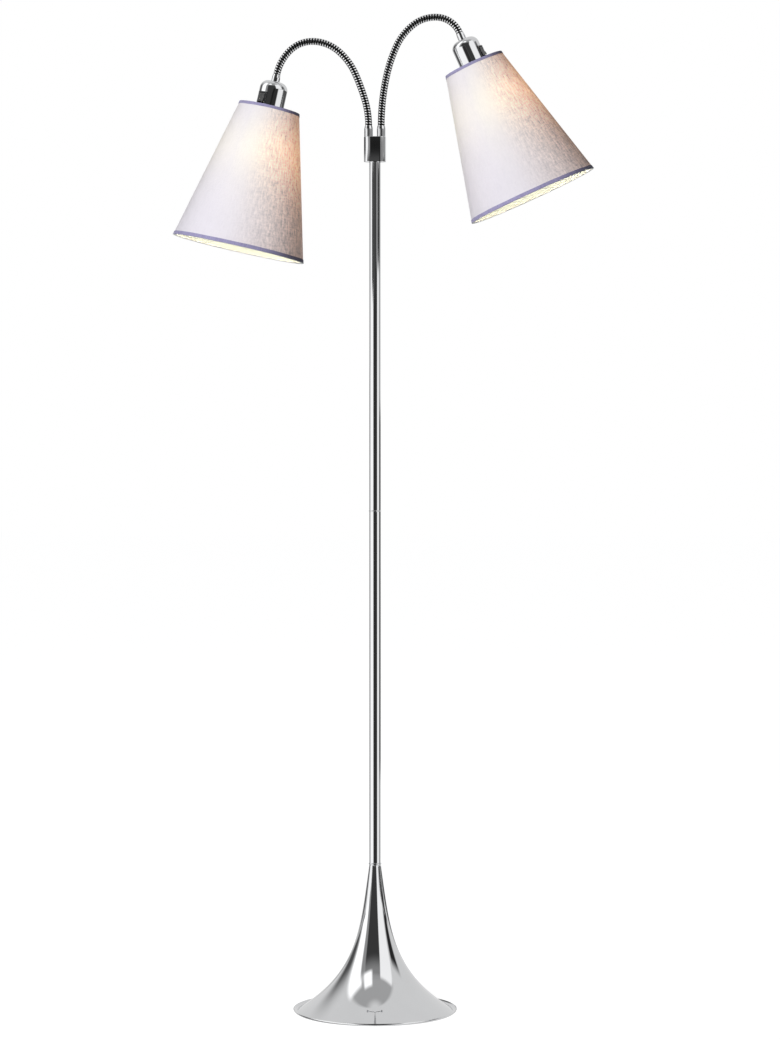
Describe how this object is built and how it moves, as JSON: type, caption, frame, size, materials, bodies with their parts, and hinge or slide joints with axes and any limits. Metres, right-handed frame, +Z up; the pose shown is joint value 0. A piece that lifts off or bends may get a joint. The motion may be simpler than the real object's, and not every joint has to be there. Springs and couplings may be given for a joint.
{
  "type": "floor lamp",
  "caption": "Floor lamp with a trumpet base, a straight pole and two gooseneck arms, each with a rocker switch and a conical fabric shade that opens downwards.",
  "frame": {"origin": "centre of the base's underside, on the floor and on the pole's axis", "axes": "+Z up along the pole, +X towards the right-hand arm as seen from the front, -Y towards the front"},
  "size_m": [0.6298, 0.2467, 1.4972],
  "materials": {
    "chrome": "polished",
    "cast_iron": "as cast, black lacquer",
    "felt": "felt",
    "zinc_steel": "zinc plated",
    "gland_rubber": "soft matt",
    "black_plastic": "glossy black",
    "switch_case_plastic": "matt black",
    "socket_plastic": "moulded thermoset, black",
    "brass": "plain",
    "bulb_cap_metal": "satin",
    "bulb_frosted": "frosted",
    "shade_fabric": "slubby linen weave on a stiff backing",
    "binding_tape": "woven tape",
    "wire_white": "white lacquer"
  },
  "bodies": {
    "stand": {"felt_pad": "felt", "base_weight": "cast_iron", "base_shell": "chrome", "cable_gland": "gland_rubber", "tie_rod": "zinc_steel", "tie_washer": "zinc_steel", "tie_nut": "zinc_steel", "base_ring": "chrome", "pole_plug": "zinc_steel", "lower_pole": "chrome", "pole_coupler": "zinc_steel", "joint_ring": "chrome", "upper_pole": "chrome", "arm_collar": "chrome", "collar_screw": "zinc_steel", "left_ferrule": "chrome", "right_ferrule": "chrome"},
    "left_neck_1": {"left_neck_link_1": "chrome"},
    "left_neck_2": {"left_neck_link_2": "chrome"},
    "left_neck_3": {"left_neck_link_3": "chrome"},
    "left_neck_4": {"left_neck_link_4": "chrome"},
    "left_neck_5": {"left_neck_link_5": "chrome"},
    "left_neck_6": {"left_neck_link_6": "chrome"},
    "left_head": {"left_neck_sleeve": "chrome", "left_holder_cup": "chrome", "left_cup_nut": "zinc_steel", "left_switch_body": "switch_case_plastic", "left_socket_insert": "socket_plastic", "left_socket_contact": "brass", "left_shade_nut": "socket_plastic", "left_shade_spider": "wire_white", "left_shade": "shade_fabric", "left_shade_bottom_wire": "wire_white", "left_shade_top_binding": "binding_tape", "left_shade_bottom_binding": "binding_tape", "left_bulb_cap": "bulb_cap_metal", "left_bulb_glass": "bulb_frosted"},
    "left_rocker": {"left_rocker": "black_plastic"},
    "right_neck_1": {"right_neck_link_1": "chrome"},
    "right_neck_2": {"right_neck_link_2": "chrome"},
    "right_neck_3": {"right_neck_link_3": "chrome"},
    "right_neck_4": {"right_neck_link_4": "chrome"},
    "right_neck_5": {"right_neck_link_5": "chrome"},
    "right_neck_6": {"right_neck_link_6": "chrome"},
    "right_head": {"right_neck_sleeve": "chrome", "right_holder_cup": "chrome", "right_cup_nut": "zinc_steel", "right_switch_body": "switch_case_plastic", "right_socket_insert": "socket_plastic", "right_socket_contact": "brass", "right_shade_nut": "socket_plastic", "right_shade_spider": "wire_white", "right_shade": "shade_fabric", "right_shade_bottom_wire": "wire_white", "right_shade_top_binding": "binding_tape", "right_shade_bottom_binding": "binding_tape", "right_bulb_cap": "bulb_cap_metal", "right_bulb_glass": "bulb_frosted"},
    "right_rocker": {"right_rocker": "black_plastic"}
  },
  "joints": [
    {"name": "left_neck_swing", "type": "hinge", "parent": "stand", "child": "left_neck_1", "pos_m": [-0.0094, 0, 1.33], "axis": [0, 0, 1], "range_deg": [-45, 45]},
    {"name": "left_neck_bend_1", "type": "hinge", "parent": "left_neck_1", "child": "left_neck_2", "pos_m": [-0.01526, 0, 1.36993], "axis": [0, -1, 0], "range_deg": [-8, 2]},
    {"name": "left_neck_bend_2", "type": "hinge", "parent": "left_neck_2", "child": "left_neck_3", "pos_m": [-0.0294, 0, 1.40785], "axis": [0, -1, 0], "range_deg": [-8, 2]},
    {"name": "left_neck_bend_3", "type": "hinge", "parent": "left_neck_3", "child": "left_neck_4", "pos_m": [-0.05317, 0, 1.44027], "axis": [0, -1, 0], "range_deg": [-8, 2]},
    {"name": "left_neck_bend_4", "type": "hinge", "parent": "left_neck_4", "child": "left_neck_5", "pos_m": [-0.08981, 0, 1.45575], "axis": [0, -1, 0], "range_deg": [-20, 2]},
    {"name": "left_neck_bend_5", "type": "hinge", "parent": "left_neck_5", "child": "left_neck_6", "pos_m": [-0.12678, 0, 1.44233], "axis": [0, -1, 0], "range_deg": [-20, 2]},
    {"name": "left_neck_bend_6", "type": "hinge", "parent": "left_neck_6", "child": "left_head", "pos_m": [-0.14632, 0, 1.40751], "axis": [0, -1, 0], "range_deg": [-20, 2]},
    {"name": "left_switch_rock", "type": "hinge", "parent": "left_head", "child": "left_rocker", "pos_m": [-0.16663, -0.01394, 1.37025], "axis": [-0.7476, 0.6428, 0.1671], "range_deg": [-16, 0]},
    {"name": "right_neck_swing", "type": "hinge", "parent": "stand", "child": "right_neck_1", "pos_m": [0.0094, 0, 1.33], "axis": [0, 0, 1], "range_deg": [-45, 45]},
    {"name": "right_neck_bend_1", "type": "hinge", "parent": "right_neck_1", "child": "right_neck_2", "pos_m": [0.01173, 0, 1.37041], "axis": [0, 1, 0], "range_deg": [-8, 2]},
    {"name": "right_neck_bend_2", "type": "hinge", "parent": "right_neck_2", "child": "right_neck_3", "pos_m": [0.01883, 0, 1.41026], "axis": [0, 1, 0], "range_deg": [-8, 2]},
    {"name": "right_neck_bend_3", "type": "hinge", "parent": "right_neck_3", "child": "right_neck_4", "pos_m": [0.03206, 0, 1.44847], "axis": [0, 1, 0], "range_deg": [-8, 2]},
    {"name": "right_neck_bend_4", "type": "hinge", "parent": "right_neck_4", "child": "right_neck_5", "pos_m": [0.05672, 0, 1.48014], "axis": [0, 1, 0], "range_deg": [-20, 2]},
    {"name": "right_neck_bend_5", "type": "hinge", "parent": "right_neck_5", "child": "right_neck_6", "pos_m": [0.09452, 0, 1.49166], "axis": [0, 1, 0], "range_deg": [-20, 2]},
    {"name": "right_neck_bend_6", "type": "hinge", "parent": "right_neck_6", "child": "right_head", "pos_m": [0.12605, 0, 1.46934], "axis": [0, 1, 0], "range_deg": [-20, 2]},
    {"name": "right_switch_rock", "type": "hinge", "parent": "right_head", "child": "right_rocker", "pos_m": [0.15748, -0.00854, 1.43877], "axis": [-0.4279, -0.8829, -0.1932], "range_deg": [-16, 0]}
  ],
  "couplings": [
    {"joint": "left_neck_bend_2", "follows": "left_neck_bend_1", "ratio": 1},
    {"joint": "left_neck_bend_3", "follows": "left_neck_bend_1", "ratio": 1},
    {"joint": "left_neck_bend_5", "follows": "left_neck_bend_4", "ratio": 1},
    {"joint": "left_neck_bend_6", "follows": "left_neck_bend_4", "ratio": 1},
    {"joint": "right_neck_bend_2", "follows": "right_neck_bend_1", "ratio": 1},
    {"joint": "right_neck_bend_3", "follows": "right_neck_bend_1", "ratio": 1},
    {"joint": "right_neck_bend_5", "follows": "right_neck_bend_4", "ratio": 1},
    {"joint": "right_neck_bend_6", "follows": "right_neck_bend_4", "ratio": 1}
  ]
}
